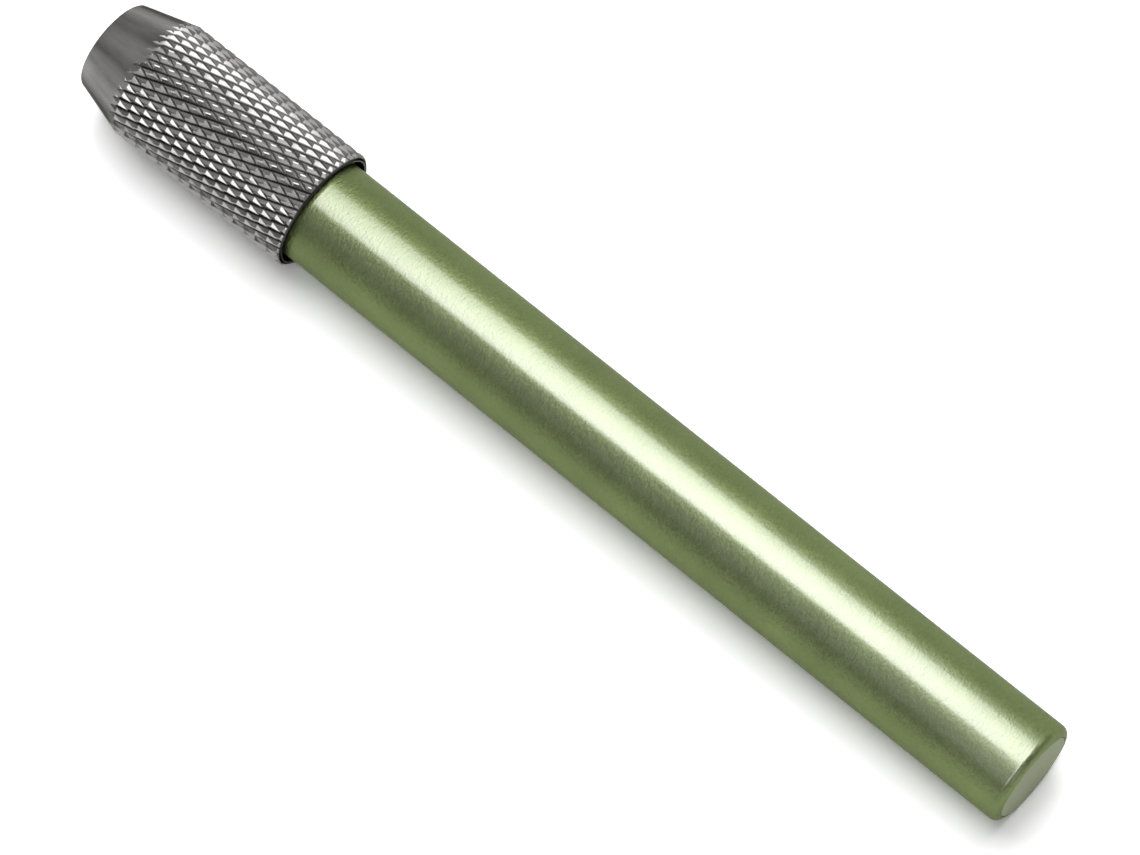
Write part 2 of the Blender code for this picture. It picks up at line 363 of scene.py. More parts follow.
def rounding(radius, distance, size, start, end, steps):
    """Stations of a rounded edge about a centre, angles in degrees from the outward direction."""
    points = []
    for i in range(steps + 1):
        angle = math.radians(start + (end - start) * i / steps)
        points.append((radius + size * math.cos(angle), distance + size * math.sin(angle)))
    return points


def turn_selected(angle, axis, centre):
    """Turn what is selected by the right-hand rule; with no window the operator turns backwards."""
    bpy.ops.transform.rotate(value=-angle, orient_axis=axis, center_override=centre)


def apply_modifier(piece, modifier):
    """Make what a modifier does part of the mesh."""
    clear_selection()
    bpy.context.view_layer.objects.active = piece
    piece.select_set(True)
    bpy.ops.object.modifier_apply(modifier=modifier.name)


def cut(piece, tool, operation):
    """Cut the piece by another solid, which is then thrown away."""
    boolean = piece.modifiers.new(tool.name, "BOOLEAN")
    boolean.operation = operation
    boolean.solver = "EXACT"
    boolean.object = tool
    apply_modifier(piece, boolean)
    bpy.data.objects.remove(tool, do_unlink=True)
    if not piece.data.polygons:
        raise RuntimeError(f"nothing is left of {piece.name}")
    bpy.ops.object.mode_set(mode="EDIT")
    weld_up()


def dress(piece, body, node, material, smooth_angle=35.0):
    """Shade a finished piece, give it its material and hang it on its body."""
    clear_selection()
    bpy.context.view_layer.objects.active = piece
    piece.select_set(True)
    bpy.ops.object.shade_smooth_by_angle(angle=math.radians(smooth_angle))
    piece.data.materials.clear()
    piece.data.materials.append(material)
    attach(piece, body)
    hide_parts(node)


def node(tree, kind, inputs=None, **settings):
    """Add a node. Inputs are socket names or numbers with a value or an output socket to link."""
    made = tree.nodes.new(kind)
    for name, value in settings.items():
        setattr(made, name, value)
    for key, value in (inputs or {}).items():
        if isinstance(value, bpy.types.NodeSocket):
            tree.links.new(value, made.inputs[key])
        else:
            made.inputs[key].default_value = value
    return made


def new_finish(name):
    """Material with an empty tree but for its output, and the object's own coordinates."""
    material = bpy.data.materials.new(name)
    material.use_nodes = True
    tree = material.node_tree
    tree.nodes.clear()
    place = node(tree, "ShaderNodeTexCoord").outputs["Object"]
    return material, tree, place


def per_metre(size):
    """Texture scale at which one feature of a noise has this size."""
    return 1.0 / size


def blasted_anodised_aluminium():
    """Dyed anodised tube, bead blasted first: a soft, even sheen with a very fine grain.

    The metal under the dye gives an olive sheen, and the clear oxide skin over it a whiter one that
    fades where the blasted surface is seen edge on. Blasting pits are about 0.05 mm; they are drawn
    at 0.22 mm, and twice as long round the tube, or they would not show.
    """
    material, tree, place = new_finish("blasted_anodised_aluminium")
    colour = bpy.context.scene.extender_finishes.barrel
    round_tube = node(tree, "ShaderNodeMapping", {
        "Vector": place, "Scale": (1.0, PIT_SQUEEZE, PIT_SQUEEZE)})
    pits = node(tree, "ShaderNodeTexNoise", {
        "Vector": round_tube.outputs[0], "Scale": per_metre(PIT_SIZE), "Detail": 2.0,
        "Roughness": 0.6})
    clouds = node(tree, "ShaderNodeTexNoise", {
        "Vector": place, "Scale": per_metre(CLOUD_SIZE), "Detail": 2.0})
    mottling = node(tree, "ShaderNodeMath", {
        0: pits.outputs["Fac"], 1: clouds.outputs["Fac"]}, operation="ADD")
    shade = node(tree, "ShaderNodeMapRange", {
        "Value": mottling.outputs[0], "From Min": 0.7, "From Max": 1.3,
        "To Min": 0.87, "To Max": 1.13})
    dye = node(tree, "ShaderNodeVectorMath", {
        0: colour[:], "Scale": shade.outputs[0]}, operation="SCALE")
    gloss = node(tree, "ShaderNodeMapRange", {
        "Value": pits.outputs["Fac"], "From Min": 0.3, "From Max": 0.7,
        "To Min": 0.42, "To Max": 0.5})
    glance = node(tree, "ShaderNodeLayerWeight", {"Blend": 0.5})
    skin_gloss = node(tree, "ShaderNodeMapRange", {
        "Value": glance.outputs["Facing"], "From Min": 0.04, "From Max": 0.24,
        "To Min": 1.0, "To Max": 0.0})
    relief = node(tree, "ShaderNodeBump", {
        "Height": pits.outputs["Fac"], "Strength": 1.0, "Distance": PIT_DEPTH})
    skin = node(tree, "ShaderNodeBsdfPrincipled", {
        "Base Color": dye.outputs[0], "Roughness": gloss.outputs[0], "Normal": relief.outputs[0],
        "Metallic": 1.0, "Specular Tint": (0.6, 0.6, 0.6, 1.0), "Coat Weight": skin_gloss.outputs[0],
        "Coat IOR": 2.2, "Coat Roughness": 0.2})
    node(tree, "ShaderNodeOutputMaterial", {"Surface": skin.outputs[0]})
    return material


def faced_anodised_aluminium():
    """Plug of the same dyed metal, faced on the lathe: faint rings round its middle.

    Facing marks are about 0.1 mm apart; they are drawn at 0.6 mm, or they would not show.
    """
    material, tree, place = new_finish("faced_anodised_aluminium")
    colour = bpy.context.scene.extender_finishes.plug
    centred = node(tree, "ShaderNodeMapping", {
        "Vector": place, "Location": (0.0, 0.0, -AXIS_HEIGHT)})
    rings = node(tree, "ShaderNodeTexWave", {
        "Vector": centred.outputs[0], "Scale": per_metre(FACING_FEED) / WAVE_RATE,
        "Distortion": 0.6, "Detail": 2.0}, wave_type="RINGS", rings_direction="X")
    grain = node(tree, "ShaderNodeTexNoise", {
        "Vector": place, "Scale": per_metre(FACED_GRAIN), "Detail": 3.0})
    marks = node(tree, "ShaderNodeMath", {
        0: rings.outputs["Fac"], 1: grain.outputs["Fac"]}, operation="ADD")
    shade = node(tree, "ShaderNodeMapRange", {
        "Value": marks.outputs[0], "From Min": 0.4, "From Max": 1.6,
        "To Min": 0.95, "To Max": 1.05})
    dye = node(tree, "ShaderNodeVectorMath", {
        0: colour[:], "Scale": shade.outputs[0]}, operation="SCALE")
    gloss = node(tree, "ShaderNodeMapRange", {
        "Value": marks.outputs[0], "From Min": 0.4, "From Max": 1.6,
        "To Min": 0.6, "To Max": 0.68})
    relief = node(tree, "ShaderNodeBump", {
        "Height": marks.outputs[0], "Strength": 0.06, "Distance": FACING_DEPTH})
    skin = node(tree, "ShaderNodeBsdfPrincipled", {
        "Base Color": dye.outputs[0], "Roughness": gloss.outputs[0], "Normal": relief.outputs[0],
        "Metallic": 1.0, "Specular Tint": (0.6, 0.6, 0.6, 1.0)})
    node(tree, "ShaderNodeOutputMaterial", {"Surface": skin.outputs[0]})
    return material


def turned_metal(name, colour, roughest, smoothest):
    """Metal from the lathe: tool marks run round the axis, duller where the tool has worn.

    Tool marks are about 0.1 mm apart; they are drawn at 0.9 mm, or they would not show.
    """
    material, tree, place = new_finish(name)
    marks = node(tree, "ShaderNodeTexWave", {
        "Vector": place, "Scale": per_metre(TOOL_FEED) / WAVE_RATE, "Distortion": 1.5,
        "Detail": 2.0, "Detail Scale": 2.0}, wave_type="BANDS", bands_direction="X")
    wear = node(tree, "ShaderNodeTexNoise", {
        "Vector": place, "Scale": per_metre(WEAR_SIZE), "Detail": 4.0})
    shade = node(tree, "ShaderNodeMapRange", {
        "Value": wear.outputs["Fac"], "From Min": 0.3, "From Max": 0.7,
        "To Min": 0.9, "To Max": 1.05})
    tint = node(tree, "ShaderNodeVectorMath", {
        0: colour[:], "Scale": shade.outputs[0]}, operation="SCALE")
    gloss = node(tree, "ShaderNodeMapRange", {
        "Value": wear.outputs["Fac"], "From Min": 0.3, "From Max": 0.7,
        "To Min": smoothest, "To Max": roughest})
    relief = node(tree, "ShaderNodeBump", {
        "Height": marks.outputs["Fac"], "Strength": 0.05, "Distance": TOOL_DEPTH})
    skin = node(tree, "ShaderNodeBsdfPrincipled", {
        "Base Color": tint.outputs[0], "Roughness": gloss.outputs[0], "Normal": relief.outputs[0],
        "Metallic": 1.0})
    node(tree, "ShaderNodeOutputMaterial", {"Surface": skin.outputs[0]})
    return material


def nickel_plate():
    """Dark nickel over turned and pressed steel: a grey mirror, dulled by polishing along the nose.

    The bottom of the knurl's grooves is darkened to near black, so they read as black lines: painted
    shade in the recesses, with some grime. Along the nose the colour is streaked lighter and darker:
    painted reflection streaks over polishing marks, which are a few hundredths wide; they are drawn at
    up to 2.4 mm, or they would not show.
    """
    material, tree, place = new_finish("nickel_plate")
    scene = bpy.context.scene
    sizes = scene.extender_sizes
    colour = scene.extender_finishes.nickel
    slope = (sizes.nut_radius - sizes.nose_radius) / sizes.nose_length
    centred = node(tree, "ShaderNodeMapping", {
        "Vector": place, "Location": (0.0, 0.0, -AXIS_HEIGHT)})
    axes = node(tree, "ShaderNodeSeparateXYZ", {0: centred.outputs[0]}).outputs
    across = node(tree, "ShaderNodeCombineXYZ", {1: axes["Y"], 2: axes["Z"]})
    radius = node(tree, "ShaderNodeVectorMath", {0: across.outputs[0]}, operation="LENGTH")
    taper = node(tree, "ShaderNodeMath", {
        0: axes["X"], 1: slope, 2: sizes.nose_radius - slope * NOSE_X}, operation="MULTIPLY_ADD")
    outside = node(tree, "ShaderNodeMath", {
        0: taper.outputs[0], 1: sizes.nut_radius}, operation="MINIMUM")
    depth = node(tree, "ShaderNodeMath", {
        0: outside.outputs[0], 1: radius.outputs["Value"]}, operation="SUBTRACT")
    # Painted shade with some grime: darker towards the groove bottoms, near black at full depth
    grime_and_shade = node(tree, "ShaderNodeMapRange", {
        "Value": depth.outputs[0], "From Min": GRIME_AND_SHADE_TOP, "From Max": GRIME_AND_SHADE_FULL,
        "To Min": 1.0, "To Max": GRIME_AND_SHADE_LEVEL})
    inside = node(tree, "ShaderNodeMapRange", {
        "Value": depth.outputs[0], "From Min": INSIDE_TOP, "From Max": INSIDE_FULL})
    # Painted groove shade, lifted again on the nut's inside
    grime_and_shade_mask = node(tree, "ShaderNodeMath", {
        0: grime_and_shade.outputs[0], 1: inside.outputs[0]}, operation="MAXIMUM")
    lengthwise = node(tree, "ShaderNodeMapping", {
        "Vector": place, "Rotation": (POLISH_TURN, 0.0, 0.0), "Scale": (1 / POLISH_STRETCH, 1.0, 1.0)})
    polish = node(tree, "ShaderNodeTexNoise", {
        "Vector": lengthwise.outputs[0], "Scale": per_metre(POLISH_SIZE), "Detail": 4.0,
        "Roughness": 0.6})
    # Painted reflection streaks along the nose, over real polishing marks
    polish_and_reflection_streaks = node(tree, "ShaderNodeMapRange", {
        "Value": polish.outputs["Fac"], "From Min": 0.3, "From Max": 0.7,
        "To Min": 0.62, "To Max": 1.2})
    # Nose: painted reflection streaks over polishing marks; knurl: one flat, slightly brighter shade
    worn = node(tree, "ShaderNodeMapRange", {
        "Value": axes["X"], "From Min": along(sizes.nose_length - EDGE_BREAK),
        "From Max": along(sizes.nose_length), "To Min": polish_and_reflection_streaks.outputs[0], "To Max": KNURL_SHADE})
    shade = node(tree, "ShaderNodeMath", {
        0: grime_and_shade_mask.outputs[0], 1: worn.outputs[0]}, operation="MULTIPLY")
    tint = node(tree, "ShaderNodeVectorMath", {
        0: colour[:], "Scale": shade.outputs[0]}, operation="SCALE")
    gloss = node(tree, "ShaderNodeMapRange", {
        "Value": polish.outputs["Fac"], "From Min": 0.3, "From Max": 0.7,
        "To Min": 0.2, "To Max": 0.28})
    relief = node(tree, "ShaderNodeBump", {
        "Height": polish.outputs["Fac"], "Strength": 0.05, "Distance": POLISH_DEPTH})
    skin = node(tree, "ShaderNodeBsdfPrincipled", {
        "Base Color": tint.outputs[0], "Roughness": gloss.outputs[0], "Normal": relief.outputs[0],
        "Metallic": 1.0, "Specular Tint": (0.2, 0.2, 0.2, 1.0)})
    node(tree, "ShaderNodeOutputMaterial", {"Surface": skin.outputs[0]})
    return material


def turned_brass():
    """Bush as it left the lathe: yellow, with bright tool marks."""
    colour = bpy.context.scene.extender_finishes.brass
    return turned_metal("turned_brass", colour, roughest=0.34, smoothest=0.24)


def spring_bronze():
    """Collet metal: browner and duller than the brass, rubbed bright where it slides."""
    colour = bpy.context.scene.extender_finishes.bronze
    return turned_metal("spring_bronze", colour, roughest=0.38, smoothest=0.26)


class EXTENDER_OT_barrel(bpy.types.Operator):
    """Turn the tube and roll its rear edge in"""

    bl_idname = "extender.barrel"
    bl_label = "Barrel Tube"

    def execute(self, context):
        sizes = context.scene.extender_sizes
        bore = sizes.barrel_radius - sizes.tube_wall
        front = BARREL_LOW.x - NOSE_X
        lip = sizes.barrel_radius - sizes.rolled_edge
        roll = sizes.length - sizes.rolled_edge
        stations = rounding(lip + SOFT_EDGE, sizes.length - SOFT_EDGE, SOFT_EDGE, 180.0, 90.0, steps=3)
        stations += rounding(lip, roll, sizes.rolled_edge, 80.0, 0.0, steps=10)
        stations += rounding(
            sizes.barrel_radius - EDGE_BREAK, front + EDGE_BREAK, EDGE_BREAK, 0.0, -90.0, steps=4)
        stations += [(bore + EDGE_BREAK, front), (bore, front + EDGE_BREAK)]
        stations += rounding(lip, roll, sizes.rolled_edge - sizes.tube_wall, 0.0, 90.0, steps=5)
        piece = turned("barrel_tube_satin", stations, BARREL_FACETS)
        dress(piece, "barrel", "barrel_tube", blasted_anodised_aluminium())
        return {"FINISHED"}


class EXTENDER_OT_plug(bpy.types.Operator):
    """Turn the flush end plug with the flange that the rolled edge holds"""

    bl_idname = "extender.plug"
    bl_label = "End Plug"

    def execute(self, context):
        sizes = context.scene.extender_sizes
        boss = sizes.barrel_radius - sizes.rolled_edge - PRESS_GAP
        flange = sizes.barrel_radius - sizes.tube_wall - PRESS_GAP
        top = sizes.length - sizes.tube_wall - PRESS_GAP
        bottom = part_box("end_plug")[0].x - NOSE_X
        disc = PLUG_DISC_SHARE * boss
        stations = [(disc, sizes.length)]
        stations += rounding(boss - SOFT_EDGE, sizes.length - SOFT_EDGE, SOFT_EDGE, 90.0, 0.0, steps=4)
        stations += [
            (boss, top),
            (flange - PLUG_CHAMFER, top),
            (flange, top - PLUG_CHAMFER),
            (flange, bottom + EDGE_BREAK),
            (flange - EDGE_BREAK, bottom),
            (disc, bottom),
        ]
        piece = turned("end_plug_flush", stations, BARREL_FACETS, solid=True)
        dress(piece, "barrel", "end_plug", faced_anodised_aluminium())
        return {"FINISHED"}


def grooved_bar(sizes, name, hand, crest, crest_width, root):
    """Bar longer than the nut, with one helical groove for each diamond round it.

    A hand of 1 gives right-handed grooves, and -1 left-handed ones.
    """
    half_step = math.pi / sizes.knurl_count
    first = -KNURL_OVERRUN
    turns = math.ceil((sizes.nut_length + 2 * KNURL_OVERRUN) / sizes.knurl_pitch) * KNURL_SPLIT

    def at_groove(points):
        middle = sum(points, Vector()) / len(points)
        step = math.atan2(middle.y, AXIS_HEIGHT - middle.z) / (2 * half_step) % 1.0
        return abs(step - 0.5) < GROOVE_SLACK

    bar = start_ring(name, crest, first, sizes.knurl_count)
    bpy.ops.mesh.bevel(offset=crest_width / 2, affect="VERTICES", segments=1)
    pick(bar, "EDGE", at_groove)
    bpy.ops.mesh.subdivide(number_cuts=1)
    pick(bar, "VERT", at_groove)
    share = root / (crest * math.cos(half_step))
    bpy.ops.transform.resize(value=(1.0, share, share), center_override=on_axis(first))
    bpy.ops.mesh.select_mode(type="EDGE")
    bpy.ops.mesh.select_all(action="SELECT")
    for _ in range(turns):
        bpy.ops.mesh.extrude_edges_move(
            TRANSFORM_OT_translate={"value": (sizes.knurl_pitch / KNURL_SPLIT, 0.0, 0.0)})
        turn_selected(hand * half_step / KNURL_SPLIT, "X", on_axis(first))
    bpy.ops.mesh.select_all(action="SELECT")
    bpy.ops.mesh.fill_holes(sides=0)
    weld_up()
    return bar


def knurl(piece, sizes):
    """Press a diamond knurl into the nut: deep left-handed grooves, and shallower right-handed ones."""
    crest = sizes.nut_radius
    bar = grooved_bar(sizes, "deep_grooves", -1, crest, KNURL_CREST, crest - sizes.knurl_depth)
    cut(piece, bar, "INTERSECT")
    crest += CROSS_CLEARANCE
    depth = CROSS_DEPTH + CROSS_CLEARANCE
    crest_width = 2 * crest * math.sin(math.pi / sizes.knurl_count) - 2 * depth * CROSS_FLANK
    bar = grooved_bar(sizes, "cross_grooves", 1, crest, crest_width, crest - depth)
    cut(piece, bar, "INTERSECT")


def nut_blank(sizes):
    """Nut before it is knurled and threaded, with its taper run out past the knurl."""
    blank = sizes.nut_radius + KNURL_CLEARANCE
    slope = (sizes.nut_radius - sizes.nose_radius) / sizes.nose_length
    minor = sizes.thread_radius - THREAD_DEPTH + RUNNING_GAP
    relief = sizes.thread_radius + RUNNING_GAP + THREAD_RELIEF
    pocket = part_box("collet_ring")[1].y + RUNNING_GAP
    nose_end = (blank - sizes.nose_radius) / slope
    rim = sizes.nut_radius - NUT_RIM
    stations = [(NUT_SKIRT + SOFT_EDGE, sizes.nut_length)]
    stations += rounding(rim - SOFT_EDGE, sizes.nut_length - SOFT_EDGE, SOFT_EDGE, 90.0, 45.0, steps=2)
    stations += [(blank, sizes.nut_length - NUT_RIM - KNURL_CLEARANCE), (blank, nose_end)]
    stations += [(sizes.nose_radius + slope * NOSE_ROUND, NOSE_ROUND)]
    stations += rounding(sizes.nose_radius - NOSE_ROUND, NOSE_ROUND, NOSE_ROUND, -10.0, -90.0, steps=5)
    stations += [
        (sizes.bore_radius + EDGE_BREAK, 0.0),
        (sizes.bore_radius, EDGE_BREAK),
        (sizes.bore_radius, PUSH_SHOULDER),
        (pocket, PUSH_SHOULDER),
        (pocket, POCKET_END),
        (relief, POCKET_END + EDGE_BREAK),
        (relief, NUT_THREAD_START + NUT_RELIEF_LENGTH),
        (minor, NUT_THREAD_START + NUT_LEAD_LENGTH),
        (minor, NUT_THREAD_END - EDGE_BREAK),
        (relief, NUT_THREAD_END + EDGE_BREAK),
        (NUT_SKIRT, NUT_THREAD_END + 2 * EDGE_BREAK),
        (NUT_SKIRT, sizes.nut_length - SOFT_EDGE),
    ]
    return turned("chuck_nut_knurled", stations, NUT_FACETS)


def thread_tool(name, start, turns, pitch, inner, inner_width, outer, outer_width):
    """Right-handed helical cutter with a four-sided section, wider where it leaves the metal."""
    clear_selection()
    bpy.ops.mesh.primitive_plane_add(size=1.0, location=on_axis(start), rotation=(math.pi / 2, 0.0, 0.0))
    tool = bpy.context.active_object
    tool.name = name
    bpy.ops.object.transform_apply(location=False, rotation=True, scale=False)
    bpy.ops.object.mode_set(mode="EDIT")
    bpy.ops.transform.resize(value=(inner_width, 1.0, outer - inner), center_override=on_axis(start))
    bpy.ops.transform.translate(value=(0.0, 0.0, (inner + outer) / 2))
    pick(tool, "EDGE", lambda corners: all(c.z > (inner + outer) / 2 for c in corners))
    bpy.ops.transform.resize(value=(outer_width / inner_width, 1.0, 1.0), center_override=on_axis(start))
    bpy.ops.mesh.select_all(action="SELECT")
    bpy.ops.mesh.delete(type="ONLY_FACE")
    bpy.ops.object.mode_set(mode="OBJECT")
    screw = tool.modifiers.new("helix", "SCREW")
    screw.axis = "X"
    screw.angle = 2 * math.pi
    screw.screw_offset = pitch
    screw.iterations = turns
    screw.steps = THREAD_FACETS
    screw.render_steps = THREAD_FACETS
    apply_modifier(tool, screw)
    bpy.ops.object.mode_set(mode="EDIT")
    bpy.ops.mesh.select_all(action="SELECT")
    bpy.ops.mesh.fill_holes(sides=4)
    weld_up()
    return tool


class EXTENDER_OT_nut(bpy.types.Operator):
    """Turn the chuck nut from knurled bar and cut its inside thread"""

    bl_idname = "extender.nut"
    bl_label = "Chuck Nut"

    def execute(self, context):
        sizes = context.scene.extender_sizes
        piece = nut_blank(sizes)
        knurl(piece, sizes)
        groove = sizes.thread_radius + RUNNING_GAP
        inside = groove - THREAD_DEPTH - THREAD_OVERLAP
        widest = NUT_GROOVE_FLOOR + 2 * THREAD_FLANK * (THREAD_DEPTH + THREAD_OVERLAP)
        tool = thread_tool(
            "nut_tap", NUT_THREAD_START, NUT_THREAD_TURNS, sizes.thread_pitch,
            inside, widest, groove, NUT_GROOVE_FLOOR)
        cut(piece, tool, "DIFFERENCE")
        dress(piece, "nut", "chuck_nut", nickel_plate(), KNURL_SMOOTH_ANGLE)
        return {"FINISHED"}


class EXTENDER_OT_bush(bpy.types.Operator):
    """Turn the bush with its collet seat and cut the thread on it"""

    bl_idname = "extender.bush"
    bl_label = "Threaded Bush"

    def execute(self, context):
        sizes = context.scene.extender_sizes
        low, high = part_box("threaded_bush")
        front = low.x - NOSE_X
        end = high.x - NOSE_X
        spigot = sizes.barrel_radius - sizes.tube_wall - PRESS_GAP
        root = sizes.thread_radius - THREAD_DEPTH
        stations = [
            (spigot - EDGE_BREAK, end),
            (spigot, end - EDGE_BREAK),
            (spigot, BUSH_SHOULDER),
            (sizes.thread_radius - SOFT_EDGE, BUSH_SHOULDER),
            (sizes.thread_radius, BUSH_SHOULDER - SOFT_EDGE),
            (sizes.thread_radius, BUSH_RELIEF_END),
            (root - THREAD_RELIEF, BUSH_RELIEF_END - EDGE_BREAK),
            (root - THREAD_RELIEF, BUSH_RELIEF_START + EDGE_BREAK),
            (sizes.thread_radius, BUSH_RELIEF_START),
            (sizes.thread_radius, front + THREAD_DEPTH),
            (root, front),
            (SEAT_MOUTH_RADIUS, front),
            (SEAT_TIP_RADIUS, SEAT_END),
            (sizes.bore_radius, SEAT_END + RUNNING_GAP),
            (sizes.bore_radius, end - EDGE_BREAK),
            (sizes.bore_radius + EDGE_BREAK, end),
        ]
        piece = turned("threaded_bush_cut", stations, BARREL_FACETS)
        outside = sizes.thread_radius + THREAD_OVERLAP
        widest = BUSH_GROOVE_FLOOR + 2 * THREAD_FLANK * (THREAD_DEPTH + THREAD_OVERLAP)
        start = NUT_THREAD_START + (BUSH_THREAD_LEAD + 0.5) * sizes.thread_pitch
        tool = thread_tool(
            "bush_die", start, BUSH_THREAD_TURNS, sizes.thread_pitch,
            root, BUSH_GROOVE_FLOOR, outside, widest)
        cut(piece, tool, "DIFFERENCE")
        dress(piece, "barrel", "threaded_bush", turned_brass())
        return {"FINISHED"}


def jaw_blank(sizes, ring_end):
    """Lowest jaw: a turned sleeve with grip grooves, cut out between two slits and swung closed."""
    bore = sizes.bore_radius
    stations = [
        (bore, ring_end + JAW_ROOT_GAP),
        (JAW_FINGER_RADIUS, ring_end + JAW_ROOT_GAP),
        (JAW_FINGER_RADIUS, JAW_HEAD_START - JAW_HEAD_RISE),
        (JAW_HEAD_RADIUS - SOFT_EDGE, JAW_HEAD_START - SOFT_EDGE),
        (JAW_HEAD_RADIUS, JAW_HEAD_START + SOFT_EDGE),
        (JAW_TIP_RADIUS, SEAT_END - SOFT_EDGE),
        (JAW_TIP_RADIUS - SOFT_EDGE, SEAT_END),
        (bore + EDGE_BREAK, SEAT_END),
        (bore, SEAT_END - EDGE_BREAK),
    ]
    for i in range(GRIP_GROOVES):
        groove = SEAT_END - (i + 1) * GRIP_PITCH
        stations += [
            (bore, groove + GRIP_DEPTH),
            (bore + GRIP_DEPTH, groove),
            (bore, groove - GRIP_DEPTH),
        ]
    jaw = turned("collet_jaw", stations, COLLET_FACETS)
    angle = math.pi / JAW_COUNT
    top = SLIT_WIDTH / 2 / math.sin(angle)
    clear_selection()
    bpy.ops.mesh.primitive_cube_add(
        size=JAW_BLOCK, rotation=(angle, 0.0, 0.0),
        location=(along(ring_end), 0.0, AXIS_HEIGHT - top - JAW_BLOCK * math.sin(angle)))
    wedge = bpy.context.active_object
    wedge.name = "jaw_wedge"
    cut(jaw, wedge, "INTERSECT")
    bpy.ops.object.mode_set(mode="EDIT")
    bpy.ops.mesh.select_all(action="SELECT")
    hinge = (along(ring_end + JAW_HINGE_GAP), 0.0, AXIS_HEIGHT - JAW_HINGE_RADIUS)
    turn_selected(-sizes.jaw_swing, "Y", hinge)
    weld_up()
    return jaw


class EXTENDER_OT_collet(bpy.types.Operator):
    """Turn the split collet: its ring, and four jaws swung closed"""

    bl_idname = "extender.collet"
    bl_label = "Split Collet"

    def execute(self, context):
        sizes = context.scene.extender_sizes
        bronze = spring_bronze()
        low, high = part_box("collet_ring")
        front = low.x - NOSE_X
        end = high.x - NOSE_X
        outside = COLLET_RING_RADIUS
        ring = turned("collet_ring_turned", [
            (sizes.bore_radius, end),
            (outside - SOFT_EDGE, end),
            (outside, end - SOFT_EDGE),
            (outside, front + EDGE_BREAK),
            (outside - EDGE_BREAK, front),
            (sizes.bore_radius + EDGE_BREAK, front),
            (sizes.bore_radius, front + EDGE_BREAK),
        ], COLLET_FACETS)
        dress(ring, "collet", "collet_ring", bronze)
        jaw = jaw_blank(sizes, end)
        for i in range(1, JAW_COUNT + 1):
            clear_selection()
            context.view_layer.objects.active = jaw
            jaw.select_set(True)
            if i < JAW_COUNT:
                bpy.ops.object.duplicate(linked=False)
            piece = context.active_object
            piece.name = f"collet_jaw_{i}_split"
            piece.data.name = piece.name
            bpy.ops.object.mode_set(mode="EDIT")
            bpy.ops.mesh.select_all(action="SELECT")
            turn_selected(2 * math.pi * (i - 1) / JAW_COUNT, "X", on_axis(0.0))
            weld_up()
            dress(piece, f"jaw_{i}", f"collet_jaw_{i}", bronze)
        return {"FINISHED"}


def floor_sheet(context):
    """White card that the nut and the rear edge of the barrel both touch, burnt out as in a picture."""
    clear_selection()
    bpy.ops.mesh.primitive_plane_add(size=FLOOR_SIZE, location=(NUT_HIGH.x, 0.0, CAD_LOW.z))
    floor = context.active_object
    floor.name = "floor_sheet"
    floor.rotation_euler = (0.0, -FLOOR_TILT, 0.0)
    material, tree, place = new_finish("white_card")
    colour = context.scene.extender_finishes.floor
    fibres = node(tree, "ShaderNodeTexNoise", {
        "Vector": place, "Scale": per_metre(CARD_FIBRE), "Detail": 3.0})
    shade = node(tree, "ShaderNodeMapRange", {
        "Value": fibres.outputs["Fac"], "To Min": 0.995, "To Max": 1.005})
    ray = node(tree, "ShaderNodeLightPath").outputs
    mirrored = node(tree, "ShaderNodeMath", {
        0: ray["Is Glossy Ray"], 1: ray["Is Transmission Ray"]}, operation="MAXIMUM")
    seen = node(tree, "ShaderNodeMath", {
        0: mirrored.outputs[0], 1: FLOOR_MIRROR_SHARE, 2: ray["Is Camera Ray"]},
        operation="MULTIPLY_ADD")
    gain = node(tree, "ShaderNodeMath", {
        0: seen.outputs[0], 1: FLOOR_GAIN, 2: 1.0}, operation="MULTIPLY_ADD")
    white = node(tree, "ShaderNodeMath", {
        0: shade.outputs[0], 1: gain.outputs[0]}, operation="MULTIPLY")
    card = node(tree, "ShaderNodeVectorMath", {
        0: colour[:], "Scale": white.outputs[0]}, operation="SCALE")
    skin = node(tree, "ShaderNodeBsdfDiffuse", {"Color": card.outputs[0]})
    node(tree, "ShaderNodeOutputMaterial", {"Surface": skin.outputs[0]})
    floor.data.materials.append(material)


def panel(name, location, size, radiance):
    """Soft lamp that faces the object, of a width along X, a depth and a brightness of its surface."""
    clear_selection()
    bpy.ops.object.light_add(type="AREA", location=location)
    lamp = bpy.context.active_object
    lamp.name = name
    lamp.data.shape = "RECTANGLE"
    lamp.data.size, lamp.data.size_y = size
    lamp.data.energy = radiance * math.pi * size[0] * size[1]
    away = lamp.location.normalized()
    across = (Vector((1.0, 0.0, 0.0)) - away * away.x).normalized()
    lamp.rotation_euler = Matrix((across, away.cross(across), away)).transposed().to_euler()


def studio_lamps():
    """Softbox over the barrel, cards that the knurl's flanks and the nose mirror, and two low fills."""
    panel("overhead_softbox", location=(-0.50, 0.31, 1.5), size=(0.86, 1.62), radiance=4.75)
    panel("rear_card", location=(-0.30, 1.20, 1.0), size=(1.0, 0.8), radiance=1.1)
    panel("front_card", location=(-0.36, -1.05, 1.05), size=(0.9, 0.9), radiance=0.12)
    panel("right_card", location=(0.09, 0.0, 1.5), size=(0.24, 1.5), radiance=5.1)
    panel("near_card", location=(0.16, -1.10, 1.15), size=(0.3, 1.3), radiance=2.2)
    panel("left_card", location=(-1.20, -0.10, 0.95), size=(0.5, 1.2), radiance=0.42)
    panel("left_fill", location=(-1.15, -1.00, 0.32), size=(0.4, 0.8), radiance=0.6)
    panel("right_fill", location=(1.25, -0.75, 0.8), size=(0.9, 0.9), radiance=0.47)


